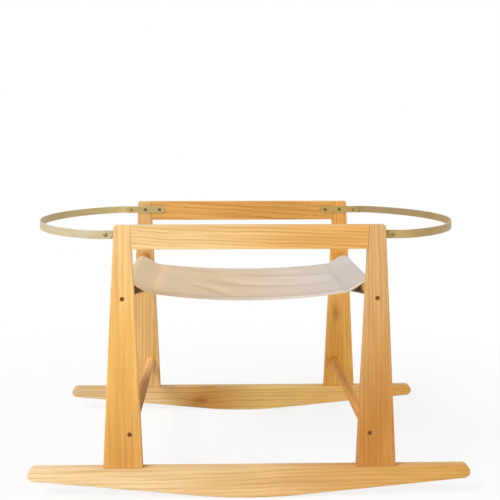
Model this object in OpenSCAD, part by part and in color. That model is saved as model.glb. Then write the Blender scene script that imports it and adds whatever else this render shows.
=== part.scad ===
// Rocking stand for a moses basket: two pine side frames on curved rockers,
// four round cross bars, a canvas sling and a folding hoop at each end.
// X runs along the rockers, Y across the stand, Z up. The origin is on the floor, under the middle.

/* [Side frames] */
// Height of the stand
stand_h = 518; // [460:1:620]
// Width of the stand over both side frames
stand_w = 460; // [400:1:560]
// Thickness of the boards
board_t = 19; // [17:1:28]
// Distance between the leg centres of one side frame
leg_pitch = 480; // [440:1:560]
// Width of a leg at its top
leg_top_w = 31; // [27:1:44]
// Width of a leg at its foot
leg_foot_w = 74; // [60:1:100]
// Radius of the outer top corner of a leg
leg_corner_r = 3.5; // [2:0.5:12]
// Height of a top rail
rail_h = 45; // [38:1:60]

/* [Rockers] */
// Length of a rocker
rocker_l = 840; // [740:5:960]
// Height of a rocker at its middle
rocker_h = 58; // [50:1:80]
// Height of a rocker's round end
rocker_end_h = 24; // [16:1:36]
// Radius of the curved middle of a rocker's underside
rocking_r = 1075; // [850:5:1500]

/* [Cross bars] */
// Diameter of the sling bars
sling_bar_d = 25; // [20:1:30]
// Height of the sling bars
sling_bar_z = 380; // [320:1:420]
// Diameter of the low stretchers
stretcher_d = 20; // [18:1:30]
// Height of the low stretchers
stretcher_z = 123; // [105:1:200]
// Distance of a stretcher inside the leg centre
stretcher_inset = 13; // [0:1:16]

/* [Sling] */
// Bare length of the sling bars in front of the canvas
bare_front = 71; // [2:1:90]
// Bare length of the sling bars behind the canvas
bare_rear = 60; // [2:1:90]
// Thickness of the canvas
canvas_t = 1.6; // [1.2:0.1:3]
// Slack between a sleeve and its bar
sleeve_gap = 0.3; // [0.2:0.05:1]
// Distance from a bar to the seam of its sleeve
sleeve_l = 40; // [30:1:70]
// Drop from a bar's centre to the seam
seam_drop = 5; // [0:0.5:14]
// Sag of the canvas's front edge between the seams
sag_front = 15.5; // [6:0.5:50]
// Sag of the canvas's rear edge between the seams
sag_rear = 11.5; // [6:0.5:50]
// Height of the soft folds in the canvas
fold_h = 2.2; // [0:0.1:5]
// Spacing of the soft folds
fold_pitch = 88; // [50:1:160]

/* [Hoops] */
// Reach of a hoop past its pivots
hoop_reach = 167; // [130:1:215]
// Depth of the hoops' pivots below the top of the stand
pivot_drop = 19.5; // [18:0.5:23]
// Height of the steel strip
strip_h = 16; // [12:1:20]
// Thickness of the steel strip
strip_t = 2; // [1.5:0.1:3]
// Reach of the strips past their end holes
strip_end = 13; // [11:0.5:15]
// Clearance between a leg and the end of a hoop
hoop_clear = 3; // [2:0.5:12]
// Radius of the bend at each shoulder of a hoop
shoulder_r = 45; // [20:1:80]
// Distance from a leg's centre in to its bracket screw
leg_screw_in = 2; // [0:0.5:8]
// Distance from a leg's joint in to the rail's bracket screw
rail_screw_in = 21; // [12:0.5:40]

/* [Bolts and inserts] */
// Diameter of the frame bolts
bolt_d = 5; // [4:0.5:8]
// Diameter of a bolt's head
bolt_head_d = 8.5; // [7:0.5:14]
// Height of a bolt's head
bolt_head_h = 5; // [4:0.5:8]
// Width of the hexagon socket across its flats
hex_key = 4; // [3:0.5:6]
// Depth of the hexagon socket
hex_depth = 2.5; // [2:0.5:3.5]
// Depth of a bolt's thread in its bar
bolt_grip = 22; // [18:1:30]
// Outer diameter of the threaded inserts
insert_d = 10; // [9:0.5:12]
// Length of the threaded inserts
insert_l = 16; // [10:1:18]

/* [Pins, screws and rivets] */
// Diameter of the dowel pins
pin_d = 8; // [6:0.5:10]
// Length of the dowel pins
pin_l = 40; // [24:1:44]
// Spacing of the two pins in a rail's joint
rail_pin_pitch = 20; // [16:0.5:22]
// Spacing of the two pins in a leg's foot
foot_pin_pitch = 37; // [24:1:44]
// Diameter of a bracket screw's shank
screw_d = 3.5; // [3:0.1:4.5]
// Length of a bracket screw under its head
screw_l = 15; // [10:0.5:16]
// Diameter of a bracket screw's head
screw_head_d = 7.5; // [6.5:0.1:9]
// Height of a bracket screw's head
screw_head_h = 2.2; // [1.8:0.1:3]
// Diameter of a hoop rivet's shank
rivet_d = 4.8; // [4:0.1:6]
// Diameter of a hoop rivet's head
rivet_head_d = 8; // [7:0.1:12]
// Height of a hoop rivet's head
rivet_head_h = 1.8; // [1.2:0.1:3]
// Diameter of a hoop rivet's clenched tail
rivet_tail_d = 7.5; // [7:0.1:10]
// Height of a hoop rivet's clenched tail
rivet_tail_h = 1.4; // [1:0.1:2.5]

/* [Hidden] */
$fn = 96;

left = -1;
right = 1;
front = -1;
rear = 1;

pine = "#e3b26c";
canvas = "#ddccb8";
khaki = "#bca878";
brown = "#70502a";
zinc = "#b7b2a6";
beech = "#d9bf94";

// Clearance round a glued or pressed piece
fit_gap = 0.05;
// Clearance round a bolt in its leg and past the insert
bolt_gap = 0.25;
// How far a bolt's head lies below the leg's face
head_sunk = 0.2;
// Free depth past the end of a bolt
bore_past = 4;
// Clearance of a hoop on its rivet, and between a hoop and its bracket
pivot_gap = 0.05;
lap_gap = 0.2;
// Glue space at each end of a dowel pin
glue_gap = 0.5;
// How far a cutter or a joined shape reaches past a face
past = 1;
// How far inside a curve its tangent edge ends, so that the two cross cleanly
tuck = 0.02;

// Side frames
inner_y = stand_w / 2 - board_t;
mid_y = stand_w / 2 - board_t / 2;
leg_x = leg_pitch / 2;
leg_taper = (leg_foot_w - leg_top_w) / 2 / (stand_h - rocker_h);
leg_lean = atan(leg_taper);
function leg_half_w(z) = leg_top_w / 2 + (stand_h - z) * leg_taper;

// Rockers: a flank is the line that touches both the rocking arc and the round end
end_r = rocker_end_h / 2;
end_x = rocker_l / 2 - end_r;
end_z = rocker_h - end_r;
flank_a = atan2(end_x, rocking_r - end_z)
    - acos((rocking_r - end_r) / norm([end_x, rocking_r - end_z]));
arc_fn = 1440;

// Cross bars, by the X and Z of their axes on the right
bar_l = 2 * inner_y;
sling_bar_spot = [leg_x, sling_bar_z];
stretcher_spot = [leg_x - stretcher_inset, stretcher_z];
bar_spots = [sling_bar_spot, stretcher_spot];
bolt_sink = bolt_head_h + head_sunk;

// Sling
sling_w = bar_l - bare_front - bare_rear;
sling_y = (bare_front - bare_rear) / 2;
sleeve_in_r = sling_bar_d / 2 + sleeve_gap;
sleeve_out_r = sleeve_in_r + canvas_t;
seam = [-sleeve_l, -seam_drop];
seam_x = leg_x - sleeve_l;
seam_z = sling_bar_z - seam_drop;
// The sewn tip of a sleeve is solid this far in, and the sheet runs into most of it
tip_solid = norm(seam) * canvas_t / sleeve_out_r;
tip_share = 0.75;
sheet_half = seam_x + tip_share * tip_solid;
sheet_steps = [22, 26];
// How far a fold turns, in degrees of its wave, along each millimetre of X
fold_drift = 0.22;

// Hoops, in plan: a straight lap, a bend at the shoulder, then a bow whose centre lies on the X axis
pivot_z = stand_h - pivot_drop;
pivot_x = leg_x + leg_half_w(pivot_z - strip_h / 2) + hoop_clear + strip_end;
hoop_y = inner_y + lap_gap;
lap_x = pivot_x + strip_end + strip_t;
shoulder_y = hoop_y + strip_t / 2 - shoulder_r;
bow_depth = pivot_x + hoop_reach - strip_t / 2 - lap_x;
bow_r = (pow(bow_depth, 2) + pow(shoulder_y, 2) - pow(shoulder_r, 2)) / (2 * (bow_depth - shoulder_r));
bow_x = lap_x + bow_depth - bow_r;
bow_a = atan2(shoulder_y, lap_x - bow_x);
// How far round a shoulder's bend runs into the bow, so that the two join
bend_join = 1.5;
strip_fn = 480;

// Screws and rivets
screw_xs = [leg_x - leg_top_w / 2 - rail_screw_in, leg_x - leg_screw_in];
slot_l = 3.8;
slot_w = 1;
slot_depth = 1.1;
rivet_l = 2 * strip_t + lap_gap + pivot_gap;

// Places what is drawn in the right rear quarter into any quarter of the stand
module quarter(side, face) {
    mirror([side == left ? 1 : 0, 0, 0])
        mirror([0, face == front ? 1 : 0, 0])
            children();
}

// Stands a flat outline in X and Z up as a plate from y to y + t
module plate(y, t) {
    translate([0, y + t, 0]) rotate([90, 0, 0]) linear_extrude(t) children();
}

// Points what is drawn along Z outwards, towards the rear, from a point in X, Y and Z
module outwards(x, y, z) {
    translate([x, y, z]) rotate([-90, 0, 0]) children();
}

// A cylinder from one height to another
module rod(d, from, to) {
    translate([0, 0, from]) cylinder(d = d, h = to - from);
}

// A low dome on the XY plane
module dome(d, h) {
    ball_r = (d * d / 4 + h * h) / (2 * h);
    intersection() {
        translate([0, 0, h - ball_r]) sphere(r = ball_r);
        cylinder(d = d + past, h = h + past);
    }
}

// Legs: tapered boards with one rounded corner
module leg_outline() {
    corner_x = leg_x + leg_top_w / 2 + leg_corner_r * (tan(leg_lean) - 1 / cos(leg_lean));
    corner_z = stand_h - leg_corner_r;
    polygon([
        [leg_x - leg_foot_w / 2, rocker_h],
        [leg_x + leg_foot_w / 2, rocker_h],
        [corner_x, corner_z] + (leg_corner_r - tuck) * [cos(leg_lean), sin(leg_lean)],
        [corner_x, corner_z],
        [corner_x, stand_h],
        [leg_x - leg_top_w / 2, stand_h]
    ]);
    translate([corner_x, corner_z]) circle(r = leg_corner_r);
}

module leg(side, face) {
    quarter(side, face) color(pine) difference() {
        plate(inner_y, board_t) leg_outline();
        for (spot = bar_spots) outwards(spot[0], inner_y, spot[1]) {
            rod(bolt_d + 2 * bolt_gap, -past, board_t + past);
            rod(bolt_head_d + 2 * bolt_gap, board_t - bolt_sink, board_t + past);
        }
        rail_pin_shapes(fit_gap, glue_gap);
        foot_pin_shapes(fit_gap, glue_gap);
        screw_shanks(fit_gap);
    }
}

// Top rails: cut at both ends to the slope of the legs
module rail_outline() {
    top = leg_x - leg_half_w(stand_h);
    low = leg_x - leg_half_w(stand_h - rail_h);
    polygon([[-low, stand_h - rail_h], [low, stand_h - rail_h], [top, stand_h], [-top, stand_h]]);
}

module rail(face) {
    color(pine) difference() {
        quarter(right, face) plate(inner_y, board_t) rail_outline();
        for (side = [left, right]) quarter(side, face) {
            rail_pin_shapes(fit_gap, glue_gap);
            screw_shanks(fit_gap);
        }
    }
}

// Rockers: flat top, round ends, and an underside that is curved only in its middle
module rocker_outline() {
    flank = [sin(flank_a), -cos(flank_a)];
    arc = [0, rocking_r] + (rocking_r - tuck) * flank;
    tip = [end_x, end_z] + (end_r - tuck) * flank;
    polygon([
        [-end_x, rocker_h], [-end_x, end_z], [-tip[0], tip[1]], [-arc[0], arc[1]],
        arc, tip, [end_x, end_z], [end_x, rocker_h]
    ]);
    intersection() {
        translate([0, rocking_r]) circle(r = rocking_r, $fn = arc_fn);
        translate([-end_x, 0]) square([2 * end_x, rocker_h / 2]);
    }
    for (side = [left, right]) translate([side * end_x, end_z]) circle(r = end_r);
}

module rocker(face) {
    color(pine) difference() {
        quarter(right, face) plate(inner_y, board_t) rocker_outline();
        for (side = [left, right]) quarter(side, face) foot_pin_shapes(fit_gap, glue_gap);
    }
}

// Dowel pins of one quarter, or their holes when grown by a gap
module rail_pin_shapes(gap, end_gap) {
    reach = pin_l / 2 + end_gap;
    for (z = [pivot_z - rail_pin_pitch / 2, pivot_z + rail_pin_pitch / 2])
        translate([leg_x - leg_half_w(z), mid_y, z])
            rotate([0, 90, 0]) rod(pin_d + 2 * gap, -reach, reach);
}

module foot_pin_shapes(gap, end_gap) {
    reach = pin_l / 2 + end_gap;
    for (x = [leg_x - foot_pin_pitch / 2, leg_x + foot_pin_pitch / 2])
        translate([x, mid_y, rocker_h]) rod(pin_d + 2 * gap, -reach, reach);
}

module rail_pins(face) {
    color(beech) for (side = [left, right]) quarter(side, face) rail_pin_shapes(0, 0);
}

module rocker_pins(face) {
    color(beech) for (side = [left, right]) quarter(side, face) foot_pin_shapes(0, 0);
}

// Round bars between the side frames, bored at both ends for an insert and a bolt
module bar(side, spot, d) {
    color(pine) difference() {
        outwards(side * spot[0], 0, spot[1]) rod(d, -inner_y, inner_y);
        for (face = [front, rear]) quarter(side, face) outwards(spot[0], inner_y, spot[1]) {
            rod(insert_d + 2 * fit_gap, -insert_l, past);
            rod(bolt_d + 2 * bolt_gap, -bolt_grip - bore_past, past);
        }
    }
}

module bar_inserts(face) {
    color(zinc) for (side = [left, right], spot = bar_spots)
        quarter(side, face) outwards(spot[0], inner_y, spot[1]) difference() {
            rod(insert_d, -insert_l, 0);
            rod(bolt_d + 2 * fit_gap, -insert_l - past, past);
        }
}

// Socket-head bolts, sunk into the outer faces of the legs
module leg_bolts(face) {
    seat = board_t - bolt_sink;
    top = seat + bolt_head_h;
    color(brown) for (side = [left, right], spot = bar_spots)
        quarter(side, face) outwards(spot[0], inner_y, spot[1]) difference() {
            union() {
                rod(bolt_head_d, seat, top);
                rod(bolt_d, -bolt_grip, seat + past);
            }
            rod(hex_key / cos(30), top - hex_depth, top + past, $fn = 6);
        }
}

// Canvas sling: a sagging sheet with a sewn sleeve round each sling bar
module teardrop_outline(r, point) {
    aim = atan2(point[1], point[0]);
    spread = acos(r / norm(point));
    circle(r = r);
    polygon([
        point,
        (r - tuck) * [cos(aim + spread), sin(aim + spread)],
        [0, 0],
        (r - tuck) * [cos(aim - spread), sin(aim - spread)]
    ]);
}

module sleeve(side) {
    quarter(side, rear) plate(sling_y - sling_w / 2, sling_w) translate(sling_bar_spot) difference() {
        teardrop_outline(sleeve_out_r, seam);
        teardrop_outline(sleeve_in_r, seam * sleeve_in_r / sleeve_out_r);
    }
}

// Sag along one line of the sheet, height of the sheet, and how strongly it folds
function sheet_sag(y) = (sag_front + sag_rear) / 2 + (sag_rear - sag_front) * y / sling_w;
function sheet_z(x, y) = seam_z - sheet_sag(y) * (1 - pow(x / seam_x, 2));
function fold_share(x, y) = max(0, 1 - pow(x / seam_x, 2)) * (1 - pow(2 * y / sling_w, 4));
function fold_z(x, y) = fold_h * fold_share(x, y) * sin(360 * y / fold_pitch + fold_drift * x);

module sheet() {
    nx = sheet_steps[0];
    ny = sheet_steps[1];
    points = [
        for (up = [1, -1], i = [0 : nx], j = [0 : ny])
            let (x = (2 * i / nx - 1) * sheet_half, y = (j / ny - 0.5) * sling_w)
                [x, y + sling_y, sheet_z(x, y) + fold_z(x, y) + up * canvas_t / 2]
    ];
    rim = concat(
        [for (i = [0 : nx - 1]) [i, 0]],
        [for (j = [0 : ny - 1]) [nx, j]],
        [for (i = [nx : -1 : 1]) [i, ny]],
        [for (j = [ny : -1 : 1]) [0, j]]
    );
    function at(layer, p) = (layer * (nx + 1) + p[0]) * (ny + 1) + p[1];
    function quad(a, b, c, d) = [[a, b, c], [a, c, d]];
    faces = [
        for (i = [0 : nx - 1], j = [0 : ny - 1])
            let (p = [i, j], px = [i + 1, j], py = [i, j + 1], pxy = [i + 1, j + 1])
                each concat(
                    quad(at(0, p), at(0, py), at(0, pxy), at(0, px)),
                    quad(at(1, p), at(1, px), at(1, pxy), at(1, py))
                ),
        for (k = [0 : len(rim) - 1])
            let (p = rim[k], q = rim[(k + 1) % len(rim)])
                each quad(at(0, p), at(0, q), at(1, q), at(1, p))
    ];
    polyhedron(points, faces);
}

module sling() {
    color(canvas) union() {
        sheet();
        sleeve(left);
        sleeve(right);
    }
}

// A flat strip in X and Z, round at one end or both
module strip_outline(from, to, round_to) {
    r = strip_h / 2;
    stop = round_to ? to - r : to;
    translate([from + r, pivot_z - r]) square([stop - from - r, strip_h]);
    translate([from + r, pivot_z]) circle(r = r);
    if (round_to) translate([stop, pivot_z]) circle(r = r);
}

// A bend in the strip about a vertical axis, from the X axis round to an angle
module bend(r, angle) {
    rotate_extrude(angle = angle, $fn = strip_fn)
        translate([r - strip_t / 2, -strip_h / 2]) square([strip_t, strip_h]);
}

// Hoops: one bent steel strip each, with a round lapped end at both pivots
module half_hoop() {
    difference() {
        plate(hoop_y, strip_t) strip_outline(pivot_x - strip_end, lap_x, false);
        outwards(pivot_x, hoop_y, pivot_z) rod(rivet_d + 2 * pivot_gap, -past, strip_t + past);
    }
    translate([lap_x, shoulder_y, pivot_z]) rotate([0, 0, 90]) mirror([0, 1, 0])
        bend(shoulder_r, 90 - bow_a + bend_join);
    translate([bow_x, 0, pivot_z]) bend(bow_r, bow_a);
}

module hoop(side) {
    color(khaki) for (face = [front, rear]) quarter(side, face) half_hoop();
}

// Brackets: flat strips across each joint of leg and rail, on the inner side
module bracket(side, face) {
    quarter(side, face) color(khaki) difference() {
        plate(inner_y - strip_t, strip_t) strip_outline(screw_xs[0] - strip_end, pivot_x + strip_end, true);
        outwards(pivot_x, inner_y, pivot_z) rod(rivet_d + 2 * fit_gap, -strip_t - past, past);
        screw_shanks(fit_gap);
    }
}

// Shanks of the two bracket screws in one quarter, or their holes when grown by a gap
module screw_shanks(gap) {
    for (x = screw_xs) outwards(x, inner_y - strip_t, pivot_z) rod(screw_d + 2 * gap, -gap, screw_l + gap);
}

module bracket_screws(face) {
    color(brown) for (side = [left, right]) quarter(side, face) {
        screw_shanks(0);
        for (x = screw_xs) translate([x, inner_y - strip_t, pivot_z]) rotate([90, 0, 0]) difference() {
            dome(screw_head_d, screw_head_h);
            for (turn = [45, 135]) rotate([0, 0, turn])
                translate([-slot_l / 2, -slot_w / 2, screw_head_h - slot_depth])
                    cube([slot_l, slot_w, screw_head_h]);
        }
    }
}

// Rivets: the pivots of the hoops, headed outside and clenched inside
module hoop_rivets(side) {
    color(brown) for (face = [front, rear]) quarter(side, face)
        outwards(pivot_x, inner_y - strip_t, pivot_z) {
            rod(rivet_d, 0, rivet_l);
            translate([0, 0, rivet_l]) dome(rivet_head_d, rivet_head_h);
            mirror([0, 0, 1]) dome(rivet_tail_d, rivet_tail_h);
        }
}

leg(left, front);  // front_left_leg
leg(right, front);  // front_right_leg
leg(left, rear);  // rear_left_leg
leg(right, rear);  // rear_right_leg
rail(front);  // front_rail
rail(rear);  // rear_rail
rocker(front);  // front_rocker
rocker(rear);  // rear_rocker
bar(left, sling_bar_spot, sling_bar_d);  // left_sling_bar
bar(right, sling_bar_spot, sling_bar_d);  // right_sling_bar
bar(left, stretcher_spot, stretcher_d);  // left_stretcher
bar(right, stretcher_spot, stretcher_d);  // right_stretcher
sling();
hoop(left);  // left_hoop
hoop(right);  // right_hoop
bracket(left, front);  // front_left_bracket
bracket(right, front);  // front_right_bracket
bracket(left, rear);  // rear_left_bracket
bracket(right, rear);  // rear_right_bracket
hoop_rivets(left);  // left_hoop_rivets
hoop_rivets(right);  // right_hoop_rivets
bracket_screws(front);  // front_bracket_screws
bracket_screws(rear);  // rear_bracket_screws
leg_bolts(front);  // front_leg_bolts
leg_bolts(rear);  // rear_leg_bolts
bar_inserts(front);  // front_bar_inserts
bar_inserts(rear);  // rear_bar_inserts
rail_pins(front);  // front_rail_pins
rail_pins(rear);  // rear_rail_pins
rocker_pins(front);  // front_rocker_pins
rocker_pins(rear);  // rear_rocker_pins
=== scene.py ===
"""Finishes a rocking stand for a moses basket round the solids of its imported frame: lacquered pine
boards with eased edges, painted strip hoops, browned fasteners and a sewn canvas sling.

Metres throughout. X runs along the rockers, Y away from the viewer and Z up.
"""

import math

import bmesh
import bpy
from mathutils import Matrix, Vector, noise


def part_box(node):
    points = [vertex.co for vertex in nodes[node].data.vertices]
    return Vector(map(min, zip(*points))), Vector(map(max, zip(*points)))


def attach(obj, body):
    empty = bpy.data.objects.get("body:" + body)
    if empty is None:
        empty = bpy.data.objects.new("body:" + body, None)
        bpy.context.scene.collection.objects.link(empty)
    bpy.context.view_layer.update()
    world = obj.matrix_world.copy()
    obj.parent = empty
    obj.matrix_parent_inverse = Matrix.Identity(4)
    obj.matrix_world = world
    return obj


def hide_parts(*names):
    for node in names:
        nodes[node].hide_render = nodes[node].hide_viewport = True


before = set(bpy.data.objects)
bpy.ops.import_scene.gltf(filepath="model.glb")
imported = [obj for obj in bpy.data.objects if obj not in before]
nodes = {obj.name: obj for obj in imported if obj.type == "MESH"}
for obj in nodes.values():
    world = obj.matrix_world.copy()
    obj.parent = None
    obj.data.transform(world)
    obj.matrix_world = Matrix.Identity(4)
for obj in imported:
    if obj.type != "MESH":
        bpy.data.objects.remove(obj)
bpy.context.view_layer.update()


# Camera, placed as the photograph was taken

CAMERA_AT = (-0.0608, -1.6274, 0.7055)
CAMERA_DOWN = 1.899
CAMERA_RIGHT = 1.152
CAMERA_LENS = 54.03
CAMERA_SHIFT = (0.0345, -0.20)


def set_up_camera():
    """Aims the camera with a level horizon, and shifts its lens instead of tilting it far down."""
    lens = bpy.data.cameras.new("photo_camera")
    lens.sensor_width = 36
    lens.lens = CAMERA_LENS
    lens.shift_x, lens.shift_y = CAMERA_SHIFT
    camera = bpy.data.objects.new("photo_camera", lens)
    camera.location = CAMERA_AT
    camera.rotation_euler = (math.radians(90 - CAMERA_DOWN), 0, math.radians(-CAMERA_RIGHT))
    bpy.context.scene.collection.objects.link(camera)
    bpy.context.scene.camera = camera


# Shader maths

class Value:
    """A socket of a material's nodes. Python's operators on it add Math nodes."""

    def __init__(self, paint, socket):
        self.paint = paint
        self.socket = socket

    def __add__(self, other):
        return self.paint.maths("ADD", self, other)

    def __mul__(self, other):
        return self.paint.maths("MULTIPLY", self, other)

    __radd__ = __add__
    __rmul__ = __mul__

    def __sub__(self, other):
        return self.paint.maths("SUBTRACT", self, other)

    def __rsub__(self, other):
        return self.paint.maths("SUBTRACT", other, self)

    def __truediv__(self, other):
        return self.paint.maths("DIVIDE", self, other)

    def __rtruediv__(self, other):
        return self.paint.maths("DIVIDE", other, self)

    def __pow__(self, other):
        return self.paint.maths("POWER", self, other)

    def __mod__(self, other):
        return self.paint.maths("FLOORED_MODULO", self, other)

    def __abs__(self):
        return self.paint.maths("ABSOLUTE", self)

    def step(self, low, high):
        """0 below low, 1 above high, and smooth between them."""
        ease = {"interpolation_type": "SMOOTHSTEP"}
        return self.paint.node("ShaderNodeMapRange", ease, {0: self, 1: low, 2: high})


def socket_name(word):
    """A shader socket's name from a word such as base_color."""
    return word.replace("_", " ").title().replace("Ior", "IOR")


class Paint:
    """A material with a Principled shader, and the nodes that feed it."""

    def __init__(self, name, **constants):
        self.material = bpy.data.materials.new(name)
        self.material.use_nodes = True
        self.tree = self.material.node_tree
        self.shader = self.tree.nodes["Principled BSDF"]
        for socket, number in constants.items():
            self.shader.inputs[socket_name(socket)].default_value = number

    def node(self, kind, settings, sockets, out=0):
        """Adds a node: its settings first, then the values or links of its sockets."""
        made = self.tree.nodes.new(kind)
        for key, setting in settings.items():
            setattr(made, key, setting)
        for key, value in sockets.items():
            self.feed(made.inputs[key], value)
        return Value(self, made.outputs[out])

    def feed(self, socket, value):
        """Links a value to a socket, or sets the socket to a plain number or colour."""
        if isinstance(value, Value):
            self.tree.links.new(value.socket, socket)
        else:
            socket.default_value = value

    def finish(self, **links):
        """Feeds the shader's sockets, by words such as base_color, and gives the material."""
        for socket, value in links.items():
            self.feed(self.shader.inputs[socket_name(socket)], value)
        return self.material

    def maths(self, operation, a, b=0.0):
        return self.node("ShaderNodeMath", {"operation": operation}, {0: a, 1: b})

    def place(self):
        """The X, Y and Z of a point on the piece."""
        spot = self.node("ShaderNodeTexCoord", {}, {}, "Object")
        return [self.node("ShaderNodeSeparateXYZ", {}, {0: spot}, k) for k in range(3)]

    def cut(self):
        """A point's place on the flat cloth: across its width, and along its length."""
        spot = self.node("ShaderNodeUVMap", {"uv_map": CLOTH_MAP}, {})
        return [self.node("ShaderNodeSeparateXYZ", {}, {0: spot}, k) for k in range(2)]

    def noise(self, x, y, z, detail=2.0, rough=0.5):
        """Smooth noise about 0.5, one wave to each unit of x, y and z."""
        spot = self.node("ShaderNodeCombineXYZ", {}, {0: x, 1: y, 2: z})
        sockets = {"Vector": spot, "Scale": 1.0, "Detail": detail, "Roughness": rough}
        return self.node("ShaderNodeTexNoise", {}, sockets, 0)

    def mix(self, share, a, b):
        return self.node("ShaderNodeMix", {"data_type": "RGBA"}, {0: share, 6: a, 7: b}, 2)

    def tint(self, base, glaze):
        """A colour multiplied by another."""
        settings = {"data_type": "RGBA", "blend_type": "MULTIPLY"}
        return self.node("ShaderNodeMix", settings, {0: 1.0, 6: base, 7: glaze}, 2)

    def shade(self, base, value):
        """A colour made darker or lighter by a value about 1."""
        return self.tint(base, self.node("ShaderNodeCombineColor", {}, {0: value, 1: value, 2: value}))

    def bump(self, height, depth):
        """A normal from a height of 0 to 1, over a depth in metres."""
        return self.node("ShaderNodeBump", {}, {"Height": height, "Distance": depth, "Strength": 1.0})


def colour(code):
    """A linear colour from a web code such as e0aa5c."""
    parts = [int(code[k:k + 2], 16) / 255 for k in (0, 2, 4)]
    return [c / 12.92 if c < 0.04045 else ((c + 0.055) / 1.055) ** 2.4 for c in parts] + [1.0]


# Pine

GRAIN_ORDER = {"X": (0, 1, 2), "Y": (1, 2, 0), "Z": (2, 0, 1)}
BOARD_NAMES = ("leg", "rail", "rocker")
LACQUER = {"coat_weight": 0.12, "coat_roughness": 0.25, "specular_ior_level": 0.3}
OIL = {"specular_ior_level": 0.1}
# What each part of the grain does to a board's tone
PALE_WOOD = (1.10, 1.13, 1.18, 1.0)
HONEY_WOOD = (0.96, 0.89, 0.76, 1.0)
LATE_WOOD = (0.74, 0.58, 0.36, 1.0)
KNOT_WOOD = (0.55, 0.33, 0.14, 1.0)


def pine(name, along, tones, pith, ring, taper, figure, knots):
    """Pine for one board or bar. Its tones follow each other along the grain, evenly spaced, and on some
    boards they also hold painted light and shade.
    Growth rings lie round a pith line that runs along the grain, at two offsets from the axes across
    it, and figure is how strongly they show. A knot is (place along the grain, two places across it,
    radius)."""
    paint = Paint(name + "_pine", **(LACQUER if name.endswith(BOARD_NAMES) else OIL))
    order = GRAIN_ORDER[along]
    spot = paint.place()
    u, v, w = [spot[k] for k in order]
    low, high = [corner[order[0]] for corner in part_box(name)]
    sweep = paint.noise(u * 2.1, v * 6, w * 6) - 0.5
    wave = paint.noise(u * 8, v * 17, w * 17) - 0.5
    ripple = paint.noise(u * 30, v * 60, w * 60) - 0.5
    radius = ((v - pith[0]) ** 2 + (w - pith[1]) ** 2) ** 0.5 + u * taper
    radius = radius + sweep * 0.020 + wave * 0.008 + ripple * 0.0032
    core = 0.0
    stain = 0.0
    for at_u, at_v, at_w, size in knots:
        far = (((u - at_u) * 0.45) ** 2 + (v - at_v) ** 2 + (w - at_w) ** 2) ** 0.5
        radius = radius + 0.9 * size / (1 + (far / (1.5 * size)) ** 2)
        core = core + (1 - far.step(size * 0.2, size * 1.15))
        stain = stain + (1 - far.step(size * 0.6, size * 2.8))
    growth = (radius / ring + paint.noise(radius * 55, 0.0, 0.0) * 1.9) % 1
    late = growth.step(0.30, 0.92) * (1 - growth.step(0.935, 1.0))
    fibre = paint.noise(u * 20, v * 900, w * 900, 3.0, 0.6)
    streak = paint.noise(u * 6, v * 310, w * 310, 2.0)
    cloud = paint.noise(u * 4, v * 22, w * 22)
    strength = paint.noise(u * 5, radius * 130, 0.0).step(0.3, 0.68)
    reach = (u - low) * ((len(tones) - 1) / (high - low))
    tone = colour(tones[0])
    for k, code in enumerate(tones[1:]):
        tone = paint.mix(reach.step(k, k + 1), tone, colour(code))
    early = paint.tint(tone, paint.mix(cloud.step(0.3, 0.72), PALE_WOOD, HONEY_WOOD))
    wood = paint.mix(late * (figure * (0.22 + 0.66 * strength)), early, paint.tint(tone, LATE_WOOD))
    wood = paint.shade(wood, 0.74 + 0.16 * fibre + 0.36 * streak)
    if knots:
        wood = paint.mix(stain * 0.6, wood, paint.tint(wood, LATE_WOOD))
        wood = paint.mix(core * 0.7, wood, paint.tint(tone, KNOT_WOOD))
    sheen = 0.40 + 0.10 * fibre - 0.06 * late
    relief = fibre * 0.5 + late * 0.5
    return paint.finish(base_color=wood, roughness=sheen, normal=paint.bump(relief, 0.00005))


# The grain axis of each board or bar, its tones, pith, width and taper of its rings, and figure
# Some boards' tones also hold painted light, as noted at each of them.
BOARDS = {
    # Painted light: lighter towards its top, where the light falls.
    "front_left_leg": ("Z", ("d79e4e", "e8b45e", "f0ca8e"), (-0.350, -0.270), 0.0125, 0.012, 0.65),
    "front_right_leg": ("Z", ("c4873a", "d3a86c"), (0.360, -0.250), 0.0080, -0.016, 0.65),
    "rear_left_leg": ("Z", ("deb674", "deb270"), (-0.160, 0.300), 0.0062, 0.014, 0.8),
    # Painted light: lighter overall, against the shade of the near frame.
    "rear_right_leg": ("Z", ("f8c05e", "ecb35f"), (0.330, 0.270), 0.0058, -0.012, 1.0),
    "front_rail": ("X", ("eac88e", "e2ae60"), (-0.258, 0.440), 0.0062, 0.030, 1.0),
    "rear_rail": ("X", ("e0ab5c", "dca555"), (0.285, 0.560), 0.0085, -0.030, 1.15),
    "front_rocker": ("X", ("edd0a2", "d09e4f"), (-0.250, 0.165), 0.0078, 0.018, 0.78),
    # Painted light: its tones run lighter over its right half, where the sling's shadow falls on it.
    "rear_rocker": ("X", ("dcbf92", "e2c08b", "c99d56", "ffe093", "ffd281", "eeb259"), (0.265, -0.095),
                    0.0084, -0.014, 0.85),
    "left_sling_bar": ("Y", ("dca860", "d09750"), (0.345, -0.262), 0.0070, 0.012, 0.8),
    "right_sling_bar": ("Y", ("d6a25a", "d09750"), (0.350, 0.270), 0.0070, -0.012, 0.8),
    # Painted light: lighter towards its rear, where the far leg shades it.
    "left_stretcher": ("Y", ("a87538", "a87538", "ffd090"), (0.150, -0.205), 0.0066, 0.010, 0.8),
    "right_stretcher": ("Y", ("cc8f40", "e4a64e"), (0.092, 0.250), 0.0066, -0.010, 0.8),
}
# Knots by board: place along the grain, two places across it, and radius
KNOTS = {
    "rear_rocker": [(-0.105, 0.208, 0.024, 0.012), (0.262, 0.232, 0.046, 0.006)],
    "front_rocker": [(0.318, -0.206, 0.045, 0.005)],
    "rear_right_leg": [(0.242, 0.232, 0.214, 0.006)],
}


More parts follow.
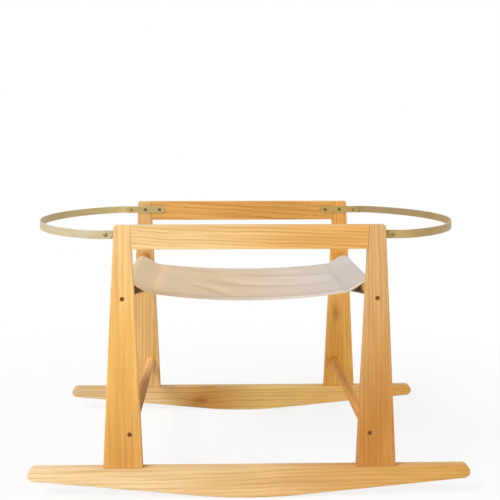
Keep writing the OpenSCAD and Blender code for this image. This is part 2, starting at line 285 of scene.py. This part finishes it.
# Eased edges

EASE = 0.0016
SAME_PLACE = 1e-5
ARRIS_ANGLE = math.radians(50)
FLAT_ANGLE = math.radians(0.5)
HOLE_ACROSS = 0.02


def arris_runs(shape):
    """The runs of sharp edges that join end to end on a board."""
    sharp = {e for e in shape.edges if len(e.link_faces) == 2 and e.calc_face_angle() > ARRIS_ANGLE}
    while sharp:
        run = [sharp.pop()]
        for edge in run:
            joined = [e for spot in edge.verts for e in spot.link_edges if e in sharp]
            sharp.difference_update(joined)
            run += joined
        yield run


def across(run):
    """The largest size of a run of edges along X, Y or Z."""
    spots = [v.co for edge in run for v in edge.verts]
    return max(max(s[k] for s in spots) - min(s[k] for s in spots) for k in range(3))


def edge_key(a, b):
    """The places of an edge's two ends, in either order, as a key."""
    return frozenset(tuple(round(c, 5) for c in spot) for spot in (a, b))


def ease_edges(board):
    """Rounds the arrises of a board as a sander leaves them, and leaves the rims of its holes sharp."""
    shape = bmesh.new()
    shape.from_mesh(board.data)
    bmesh.ops.remove_doubles(shape, verts=shape.verts, dist=SAME_PLACE)
    eased = set()
    for run in arris_runs(shape):
        if across(run) > HOLE_ACROSS:
            eased.update(edge_key(e.verts[0].co, e.verts[1].co) for e in run)
    shape.free()
    spots = board.data.vertices
    weights = board.data.attributes.new("bevel_weight_edge", "FLOAT", "EDGE")
    for edge, weight in zip(board.data.edges, weights.data):
        a, b = [spots[k].co for k in edge.vertices]
        weight.value = 1.0 if edge_key(a, b) in eased else 0.0
    weld = board.modifiers.new("weld", "WELD")
    weld.merge_threshold = SAME_PLACE
    plane = board.modifiers.new("plane", "DECIMATE")
    plane.decimate_type = "DISSOLVE"
    plane.angle_limit = FLAT_ANGLE
    arris = board.modifiers.new("arris", "BEVEL")
    arris.width = EASE
    arris.segments = 3
    arris.limit_method = "WEIGHT"
    arris.use_clamp_overlap = False
    arris.loop_slide = False
    shading = board.modifiers.new("shading", "WEIGHTED_NORMAL")
    shading.weight = 100


# Strip, fasteners and hidden fittings

def khaki_strip(name, near, far):
    """Satin paint on flat steel, thin along the strip's edges. Its change from the near tone to the far
    one is painted light and shade: it follows how light falls on the near and far strands.
    """
    paint = Paint(name, coat_weight=0.1, coat_roughness=0.3, specular_ior_level=0.4)
    x, y, z = paint.place()
    low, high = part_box("left_hoop")
    middle = (low.z + high.z) / 2
    half = (high.z - low.z) / 2
    edge = (abs(z - middle) / half).step(0.80, 1.0)
    mottle = paint.noise(x * 30, y * 30, z * 90, 3.0)
    drawn = paint.noise(x * 12, y * 12, z * 1500, 2.0)
    worn = edge * paint.noise(x * 55, y * 55, z * 55, 3.0).step(0.40, 0.62)
    # Painted light and shade: the near strand's tone gives way to the far strand's across Y.
    coat_and_painted_light = paint.mix(y.step(-0.16, 0.16), colour(near), colour(far))
    coat_and_painted_light = paint.shade(coat_and_painted_light, 0.78 + 0.20 * drawn + 0.24 * mottle)
    skin = paint.mix(worn * 0.5, coat_and_painted_light, colour("d9cfb4"))
    rough = 0.36 + 0.16 * mottle
    return paint.finish(base_color=skin, roughness=rough, normal=paint.bump(drawn, 0.00002))


def browned_steel(name, dark, rubbed):
    """Browned steel, rubbed lighter in places."""
    paint = Paint(name, metallic=0.35)
    x, y, z = paint.place()
    rub = paint.noise(x * 420, y * 420, z * 420, 3.0).step(0.45, 0.75)
    skin = paint.mix(rub * 0.6, colour(dark), colour(rubbed))
    return paint.finish(base_color=skin, roughness=0.34 + 0.2 * rub)


def zinc_plate():
    """Zinc plating with a faint bloom."""
    paint = Paint("zinc_plate", metallic=1.0)
    x, y, z = paint.place()
    bloom = paint.noise(x * 300, y * 300, z * 300, 3.0)
    skin = paint.mix(bloom, colour("a9a69b"), colour("cbc8bd"))
    return paint.finish(base_color=skin, roughness=0.28 + 0.2 * bloom)


def beech():
    """Bare beech with flecks."""
    paint = Paint("beech")
    x, y, z = paint.place()
    fleck = paint.noise(x * 500, y * 500, z * 60, 2.0).step(0.5, 0.7)
    skin = paint.mix(fleck, colour("dcc49b"), colour("c6a577"))
    return paint.finish(base_color=skin, roughness=0.6 + 0.1 * fleck)


# Canvas sling

SLING_LOW, SLING_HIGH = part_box("sling")
SLING_MID_Y = (SLING_LOW.y + SLING_HIGH.y) / 2
SLING_HALF = (SLING_HIGH.y - SLING_LOW.y) / 2
CLOTH_MAP = "cloth"
CLOTH_T = 0.0012
SLEEVE_REACH = 0.040
SEAM_DROP = 0.005
SAG_FRONT = 0.0155
SAG_REAR = 0.0115
SAG = (SAG_FRONT + SAG_REAR) / 2
FOLD_H = 0.0022
FOLD_PITCH = 0.088
FOLD_DRIFT = math.radians(220)
SOFT_H = 0.0018
FINE_H = 0.0007
PUCKER_H = 0.0006
HEM_R = 0.0020
HEM_THIN = 0.0003
HEM_RETURN = 0.010
SEAM_LAP = 0.010
SEAM_SOFT = 0.0028
LAP_INSET = 0.003
CLOTH_STEP = 0.0036
THREAD_PITCH = 0.0013
# This attribute carries painted shade for the furrows of the creases and painted light for their ridges.
CREASE_SHADE_MAP = "crease"
CREASE_H = 0.0008
# Creases seen in the sheet: two ends from its middle, sideways bow, width of the furrow, strength,
# and the side that its ridge is on
CREASES = (
    ((-0.015, 0.075), (0.196, 0.033), 0.000, 0.013, 1.0, -1),
    ((-0.085, 0.011), (0.190, -0.047), -0.024, 0.012, 1.0, 1),
    ((-0.125, -0.051), (-0.025, -0.131), 0.006, 0.013, 0.9, 1),
    ((-0.192, 0.126), (-0.040, 0.097), 0.000, 0.014, 0.5, 1),
)


def canvas():
    """Plain weave in ecru cotton, with slubs. It is warmer on the left, and its left sleeve is painted
    lighter as painted light against the shade it lies in. It is paler along the hems on the right, partly
    as rubbed cloth and partly as a painted highlight on the hems' rolls. Its creases carry painted shade
    in their furrows and painted light on their ridges."""
    paint = Paint("canvas", sheen_weight=0.25, sheen_roughness=0.5, specular_ior_level=0.25,
                  subsurface_weight=0.5, subsurface_scale=0.006, subsurface_radius=(1.0, 0.95, 0.9))
    cross, along = paint.cut()
    x, y, z = paint.place()
    turns = 2 * math.pi / THREAD_PITCH
    warp = paint.maths("SINE", cross * turns)
    weft = paint.maths("SINE", along * turns)
    weave = 0.5 + 0.5 * warp * weft
    slub = paint.noise(cross * 900, along * 35, 0.0, 2.0)
    slub = slub * 0.5 + 0.5 * paint.noise(cross * 35, along * 900, 0.0, 2.0)
    cloud = paint.noise(x * 9, y * 9, z * 9, 2.0)
    hem = (abs(cross) / SLING_HALF).step(0.955, 0.99)
    # Painted light: the left sleeve is lighter than the sheet, against the shade it lies in.
    warm = paint.mix(x.step(-0.205, -0.165), colour("f2c996"), colour("d8bd99"))
    warm = paint.mix(x.step(-0.08, 0.22), warm, colour("d6c9c1"))
    patchy = paint.mix(cloud.step(0.3, 0.7), (0.96, 0.95, 0.93, 1.0), (1.03, 1.03, 1.04, 1.0))
    # Paler along the hems towards the right: partly rubbed cloth, partly a painted highlight on the hems'
    # rolls.
    ecru = paint.mix(hem * x.step(-0.22, 0.22), paint.tint(warm, patchy), colour("fff0de"))
    furrow_shade = paint.node("ShaderNodeAttribute", {"attribute_name": CREASE_SHADE_MAP}, {}, "Fac")
    # Painted shade in the furrows of the creases and painted light on their ridges.
    skin = paint.shade(ecru, (0.84 + 0.10 * weave + 0.20 * slub) * (1 + 0.24 * furrow_shade))
    relief = paint.bump(weave * 0.6 + slub * 0.4, 0.00006)
    return paint.finish(base_color=skin, roughness=0.86 + 0.08 * slub, normal=relief)


def thread():
    """Twisted sewing thread, a little darker and lighter by turns."""
    paint = Paint("thread", sheen_weight=0.2, specular_ior_level=0.3)
    x, y, z = paint.place()
    twist = paint.noise(x * 1800, y * 1800, z * 1800, 2.0)
    skin = paint.mix(twist, colour("cdb798"), colour("f0e6d6"))
    return paint.finish(base_color=skin, roughness=0.7 + 0.1 * twist)


class Station:
    """One crosswise line of the sling: a point in X and Z, the cloth's outward direction there, how
    far along the cloth it lies, how much it folds, its hem's radius and how far its ends are cut in."""

    def __init__(self, x, z, share, hem, inset=0.0):
        self.x = x
        self.z = z
        self.share = share
        self.hem = hem
        self.inset = inset
        self.along = 0.0
        self.out = (0.0, 1.0)


def bar_axis():
    """The right sling bar's centre in X and Z, and its radius."""
    low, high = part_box("right_sling_bar")
    return (low.x + high.x) / 2, (low.z + high.z) / 2, (high.x - low.x) / 2


def right_half():
    """Stations from the middle of the sheet, over the seam and round the right bar, to the lap."""
    bar_x, bar_z, bar_r = bar_axis()
    seam_x = bar_x - SLEEVE_REACH
    seam_z = bar_z - SEAM_DROP
    wrap_r = bar_r + 2 * HEM_THIN + CLOTH_T
    aim = math.atan2(SEAM_DROP, SLEEVE_REACH)
    spread = math.asin(wrap_r / math.hypot(SLEEVE_REACH, SEAM_DROP))
    stations = []
    steps = round(seam_x / CLOTH_STEP)
    for k in range(steps + 1):
        x = seam_x * k / steps
        share = max(0.0, 1 - (x / seam_x) ** 2)
        stations.append(Station(x, seam_z - SAG * share, share, HEM_R))
    top = math.pi / 2 + aim + spread
    low = aim - spread - math.pi / 2
    near = (bar_x + wrap_r * math.cos(top), bar_z + wrap_r * math.sin(top))
    far = (bar_x + wrap_r * math.cos(low), bar_z + wrap_r * math.sin(low))
    steps = 12
    for k in range(1, steps):
        t = k / steps
        hem = HEM_R + (HEM_THIN - HEM_R) * t * t
        x = seam_x + (near[0] - seam_x) * t
        z = seam_z + (near[1] - seam_z) * t
        stations.append(Station(x, z, 0.0, hem))
    steps = 30
    for k in range(steps + 1):
        turn = top + (low - top) * k / steps
        x = bar_x + wrap_r * math.cos(turn)
        z = bar_z + wrap_r * math.sin(turn)
        stations.append(Station(x, z, 0.0, HEM_THIN))
    tuck = 1.25 * CLOTH_T
    steps = 12
    for k in range(1, steps + 1):
        t = k / steps
        x = far[0] + (seam_x - far[0]) * t
        z = far[1] + (seam_z - tuck - far[1]) * t
        stations.append(Station(x, z, 0.0, HEM_THIN, LAP_INSET * t))
    steps = 3
    for k in range(1, steps + 1):
        x = seam_x - SEAM_LAP * k / steps
        share = 1 - (x / seam_x) ** 2
        stations.append(Station(x, seam_z - SAG * share - tuck, 0.0, HEM_THIN, LAP_INSET))
    soften(stations, seam_x)
    return stations


def soften(stations, seam_x):
    """Rounds the crease of the upper layer over the seam."""
    count = next(k for k, s in enumerate(stations) if s.x > seam_x + 3 * SEAM_SOFT)
    raw = [s.z for s in stations]
    for k in range(1, count):
        s = stations[k]
        weights = [math.exp(-((o.x - s.x) / SEAM_SOFT) ** 2) for o in stations[:count + 4]]
        s.z = sum(w * z for w, z in zip(weights, raw)) / sum(weights)


def whole_length():
    """Stations along the whole sling, left to right, with their distances and directions."""
    right = right_half()
    left = [Station(-s.x, s.z, s.share, s.hem, s.inset) for s in reversed(right[1:])]
    stations = left + right
    for a, b in zip(stations, stations[1:]):
        b.along = a.along + math.hypot(b.x - a.x, b.z - a.z)
    for k, s in enumerate(stations):
        a = stations[max(0, k - 1)]
        b = stations[min(len(stations) - 1, k + 1)]
        length = math.hypot(b.x - a.x, b.z - a.z)
        s.out = (-(b.z - a.z) / length, (b.x - a.x) / length)
    return stations


def fold_height(x, y, share):
    """The sheet's tilt from its front edge to its shallower rear edge, soft folds that run along it, and
    small puckers that fade out from the seams."""
    tilt = (SAG_FRONT - SAG_REAR) / 2 * share * y / SLING_HALF
    fade = 1 - (y / SLING_HALF) ** 4
    main = FOLD_H * share * fade * math.sin(2 * math.pi * y / FOLD_PITCH + FOLD_DRIFT * x)
    drift = noise.noise(Vector((x * 4, y * 30, 0.7)))
    fine = noise.noise(Vector((x * 9, y * 62, 3.1)))
    pucker = noise.noise(Vector((x * 7, y * 120, 8.4))) * (1 - share) ** 2
    soft = SOFT_H * drift + FINE_H * fine + PUCKER_H * pucker
    return tilt + main + loose(y, share) * soft + CREASE_H * creasing(x, y, share)


def loose(y, share):
    """1 where the sheet hangs free, fading to 0 at the seams and hems that hold it flat."""
    return (1 - abs(y / SLING_HALF) ** 12) * min(1.0, share * 6)


def creasing(x, y, share):
    """How far a point lies in the furrows of the creases, below 0, or on their ridges, above 0. It shapes
    the sheet, and the canvas also takes it as painted shade in the furrows and painted light on the
    ridges.
    """
    return loose(y, share) * sum(crease(x, y, *c) for c in CREASES)


def crease(x, y, start, end, bow, width, strength, side):
    """One crease between two points of the sheet, bowed sideways: a furrow with a ridge beside it."""
    t = (x - start[0]) / (end[0] - start[0])
    if not 0 < t < 1:
        return 0.0
    off = (y - start[1] - (end[1] - start[1]) * t - bow * 4 * t * (1 - t)) / width
    ridge = 0.7 * math.exp(-((off - 2.2 * side) / 1.5) ** 2)
    return strength * math.sin(math.pi * t) ** 0.7 * (ridge - math.exp(-off * off))


def width_line(hem, inset):
    """(place across, depth below the face, place on the flat cloth) from the near edge to the far."""
    side = []
    inner = SLING_HALF - inset - hem
    turns = 8
    side.append((inner - HEM_RETURN, 2 * hem, inner + math.pi * hem + HEM_RETURN))
    for k in range(turns + 1):
        turn = math.pi * (1 - k / turns)
        side.append((inner + hem * math.sin(turn), hem * (1 - math.cos(turn)), inner + hem * turn))
    steps = 46
    face = [(inner * (1 - k / steps), 0.0, inner * (1 - k / steps)) for k in range(1, steps + 1)]
    right = side + face
    left = [(-y, depth, -flat_y) for y, depth, flat_y in reversed(right[:-1])]
    return right + left


def sew_sling():
    """The sheet of canvas: hemmed along both sides and sewn into a sleeve round each bar."""
    stations = whole_length()
    middle = stations[len(stations) // 2].along
    mesh = bpy.data.meshes.new("canvas_sling")
    build = bmesh.new()
    layer = build.loops.layers.uv.new(CLOTH_MAP)
    crease_shade_layer = build.verts.layers.float.new(CREASE_SHADE_MAP)
    rows = []
    flats = {}
    for s in stations:
        row = []
        for y, depth, flat_y in width_line(s.hem, s.inset):
            lift = fold_height(s.x, y, s.share) - depth
            spot = build.verts.new((s.x + s.out[0] * lift, SLING_MID_Y + y, s.z + s.out[1] * lift))
            # The crease value is kept on the cloth for its painted shade and light.
            spot[crease_shade_layer] = creasing(s.x, y, s.share)
            flats[spot] = (flat_y, s.along - middle)
            row.append(spot)
        rows.append(row)
    for a, b in zip(rows, rows[1:]):
        for k in range(len(a) - 1):
            face = build.faces.new((a[k], a[k + 1], b[k + 1], b[k]))
            face.smooth = True
            for loop in face.loops:
                loop[layer].uv = flats[loop.vert]
    build.to_mesh(mesh)
    build.free()
    sling = bpy.data.objects.new("canvas_sling", mesh)
    bpy.context.scene.collection.objects.link(sling)
    body = sling.modifiers.new("body", "SOLIDIFY")
    body.thickness = CLOTH_T
    body.offset = 0
    return sling, stations


# Stitching

STITCH_PITCH = 0.0042
STITCH_L = 0.0031
THREAD_R = 0.00036
SEAM_ROWS = (0.0022, 0.0078)
SEAM_ROW_END = 0.004
HEM_ROW = 0.0075


def stitch_tree(material):
    """Geometry nodes that sew a line: a short thread at each step along it."""
    tree = bpy.data.node_groups.new("stitches", "GeometryNodeTree")
    sockets = {}
    tree.interface.new_socket("Line", in_out="INPUT", socket_type="NodeSocketGeometry")
    for name, number in (("Pitch", STITCH_PITCH), ("Length", STITCH_L), ("Thread Radius", THREAD_R)):
        socket = tree.interface.new_socket(name, in_out="INPUT", socket_type="NodeSocketFloat")
        socket.default_value = number
        sockets[name] = socket.identifier
    tree.interface.new_socket("Stitches", in_out="OUTPUT", socket_type="NodeSocketGeometry")

    def add(kind, links, **settings):
        made = tree.nodes.new(kind)
        for key, setting in settings.items():
            setattr(made, key, setting)
        for key, value in links.items():
            if isinstance(value, bpy.types.NodeSocket):
                tree.links.new(value, made.inputs[key])
            else:
                made.inputs[key].default_value = value
        return made

    given = add("NodeGroupInput", {})
    line = add("GeometryNodeMeshToCurve", {"Mesh": given.outputs["Line"]})
    links = {"Curve": line.outputs[0], "Length": given.outputs["Pitch"]}
    points = add("GeometryNodeResampleCurve", links, mode="LENGTH")
    ball = add("GeometryNodeMeshUVSphere", {"Segments": 6, "Rings": 4, "Radius": 0.5})
    thick = add("ShaderNodeMath", {0: given.outputs["Thread Radius"], 1: 2.0}, operation="MULTIPLY")
    links = {0: given.outputs["Length"], 1: thick.outputs[0], 2: thick.outputs[0]}
    size = add("ShaderNodeCombineXYZ", links)
    way = add("GeometryNodeInputTangent", {})
    turn = add("FunctionNodeAlignRotationToVector", {"Vector": way.outputs[0]}, axis="X")
    links = {
        "Points": points.outputs[0],
        "Instance": ball.outputs["Mesh"],
        "Rotation": turn.outputs[0],
        "Scale": size.outputs[0],
    }
    sewn = add("GeometryNodeInstanceOnPoints", links)
    real = add("GeometryNodeRealizeInstances", {"Geometry": sewn.outputs[0]})
    smooth = add("GeometryNodeSetShadeSmooth", {"Geometry": real.outputs[0]})
    links = {"Geometry": smooth.outputs[0], "Material": material}
    coloured = add("GeometryNodeSetMaterial", links)
    add("NodeGroupOutput", {"Stitches": coloured.outputs[0]})
    return tree, sockets


def sewing_lines(stations):
    """Lines of points on the upper face: two rows at each seam, and one row beside each hem."""
    lift = CLOTH_T / 2 + THREAD_R * 0.3
    seam_x = bar_axis()[0] - SLEEVE_REACH
    upper = [s for s in stations if s.share > 0 or s.hem > HEM_THIN * 1.5]
    reach = SLING_HALF - SEAM_ROW_END
    steps = 60
    lines = []
    for side in (-1, 1):
        for back in SEAM_ROWS:
            s = min(upper, key=lambda o: abs(o.x - side * (seam_x - back)))
            ys = [reach * (2 * k / steps - 1) for k in range(steps + 1)]
            lines.append([on_face(s, y, lift) for y in ys])
    for edge in (-1, 1):
        lines.append([on_face(s, edge * (SLING_HALF - HEM_R - HEM_ROW), lift) for s in upper])
    return lines


def on_face(s, y, lift):
    """A point just over the sling's upper face."""
    height = fold_height(s.x, y, s.share) + lift
    return s.x + s.out[0] * height, SLING_MID_Y + y, s.z + s.out[1] * height


def sew_stitches(lines, material):
    """All the rows of stitching, as one plain mesh."""
    mesh = bpy.data.meshes.new("seam_lines")
    points = []
    edges = []
    for line in lines:
        start = len(points)
        points += line
        edges += [(k, k + 1) for k in range(start, len(points) - 1)]
    mesh.from_pydata(points, edges, [])
    guide = bpy.data.objects.new("seam_lines", mesh)
    bpy.context.scene.collection.objects.link(guide)
    tree, sockets = stitch_tree(material)
    sewing = guide.modifiers.new("sewing", "NODES")
    sewing.node_group = tree
    sewing[sockets["Pitch"]] = STITCH_PITCH
    sewing[sockets["Length"]] = STITCH_L
    sewing[sockets["Thread Radius"]] = THREAD_R
    view = bpy.context.evaluated_depsgraph_get()
    sewn = bpy.data.meshes.new_from_object(guide.evaluated_get(view))
    bpy.data.objects.remove(guide)
    sewn.name = "canvas_stitches"
    stitches = bpy.data.objects.new("canvas_stitches", sewn)
    bpy.context.scene.collection.objects.link(stitches)
    return stitches


# Studio

WHITE = (1.0, 1.0, 1.0, 1.0)
FLOOR_DROP = 0.0004
SOFT_LIGHT = 0.48
SUN_FROM = (-0.40, -0.30, 0.86)
SUN_POWER = 1.45
SUN_SPREAD = math.radians(24)
KEY_AT = (-0.95, -1.45, 1.25)
KEY_POWER = 8
FILL_AT = (1.30, -1.20, 0.70)
FILL_POWER = 3
LAMP_SIZE = 0.7
AIM = Vector((0, 0, 0.3))


def set_up_studio():
    """A white room: a pale floor that takes the shadow, soft light all round, a sun, a key and a fill."""
    bpy.ops.mesh.primitive_plane_add(size=30, location=(0, 0, -FLOOR_DROP))
    floor = bpy.context.object
    floor.name = "floor"
    floor.data.materials.append(floor_paint())
    light_room()
    sun = add_lamp("sun", "SUN", SUN_FROM)
    sun.energy = SUN_POWER
    sun.angle = SUN_SPREAD
    key = add_lamp("key", "AREA", KEY_AT)
    key.energy = KEY_POWER
    fill = add_lamp("fill", "AREA", FILL_AT)
    fill.energy = FILL_POWER
    for lamp in (key, fill):
        lamp.shape = "DISK"
        lamp.size = LAMP_SIZE
    bpy.context.scene.view_settings.view_transform = "Standard"


def add_lamp(name, kind, place):
    """A lamp aimed at the middle of the stand."""
    lamp = bpy.data.lights.new(name, kind)
    holder = bpy.data.objects.new(name, lamp)
    holder.location = place
    holder.rotation_euler = (AIM - holder.location).to_track_quat("-Z", "Y").to_euler()
    bpy.context.scene.collection.objects.link(holder)
    return lamp


def floor_paint():
    """Near-white, and for the camera it fades to plain white away from the stand."""
    paint = Paint("floor_white", roughness=0.9, specular_ior_level=0.1)
    x, y, z = paint.place()
    away = ((x * 0.75) ** 2 + y ** 2) ** 0.5
    seen = paint.node("ShaderNodeLightPath", {}, {}, "Is Camera Ray")
    share = seen * (0.82 + 0.18 * away.step(0.35, 1.15))
    glow = paint.node("ShaderNodeEmission", {}, {"Color": WHITE, "Strength": 1.0})
    surface = Value(paint, paint.shader.outputs[0])
    shown = paint.node("ShaderNodeMixShader", {}, {0: share, 1: surface, 2: glow})
    paint.feed(paint.tree.nodes["Material Output"].inputs["Surface"], shown)
    return paint.finish(base_color=colour("f4f2ee"))


def light_room():
    """White where it is seen or mirrored, and dimmer as a light."""
    world = bpy.data.worlds.new("white_room")
    bpy.context.scene.world = world
    world.use_nodes = True
    tree = world.node_tree
    path = tree.nodes.new("ShaderNodeLightPath")
    seen = path.outputs["Is Camera Ray"]
    for ray in ("Is Glossy Ray", "Is Transmission Ray"):
        either = tree.nodes.new("ShaderNodeMath")
        either.operation = "MAXIMUM"
        tree.links.new(seen, either.inputs[0])
        tree.links.new(path.outputs[ray], either.inputs[1])
        seen = either.outputs[0]
    level = tree.nodes.new("ShaderNodeMapRange")
    level.inputs["To Min"].default_value = SOFT_LIGHT
    tree.links.new(seen, level.inputs["Value"])
    sky = tree.nodes["Background"]
    sky.inputs["Color"].default_value = WHITE
    tree.links.new(level.outputs[0], sky.inputs["Strength"])


# Making

set_up_camera()
set_up_studio()

# Each strip's near and far tones paint the light and shade on its near and far strands.
left_strip = khaki_strip("left_khaki", "c4b793", "cdbd88")
right_strip = khaki_strip("right_khaki", "b89a60", "a38e62")
left_bracket = khaki_strip("left_bracket_khaki", "c4b793", "bba96f")
right_bracket = khaki_strip("right_bracket_khaki", "b89a60", "bb9b56")
bolt_brown = browned_steel("bolt_brown", "84501a", "b0762e")
screw_brown = browned_steel("screw_brown", "6a5228", "9c8450")
rivet_brown = browned_steel("rivet_brown", "85744a", "ab9c70")
zinc = zinc_plate()
dowel = beech()
for name, node in nodes.items():
    if name in BOARDS:
        finish = pine(name, *BOARDS[name], KNOTS.get(name, ()))
    elif name.endswith("hoop"):
        finish = left_strip if "left" in name else right_strip
    elif name.endswith("bracket"):
        finish = left_bracket if "left" in name else right_bracket
    elif name.endswith("bolts"):
        finish = bolt_brown
    elif name.endswith("screws"):
        finish = screw_brown
    elif name.endswith("rivets"):
        finish = rivet_brown
    elif name.endswith("inserts"):
        finish = zinc
    else:
        finish = dowel
    node.data.materials.clear()
    node.data.materials.append(finish)
    if name.endswith(BOARD_NAMES):
        ease_edges(node)

sling, stations = sew_sling()
sling.data.materials.append(canvas())
stitches = sew_stitches(sewing_lines(stations), thread())
for piece in (sling, stitches):
    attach(piece, "frame")
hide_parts("sling")
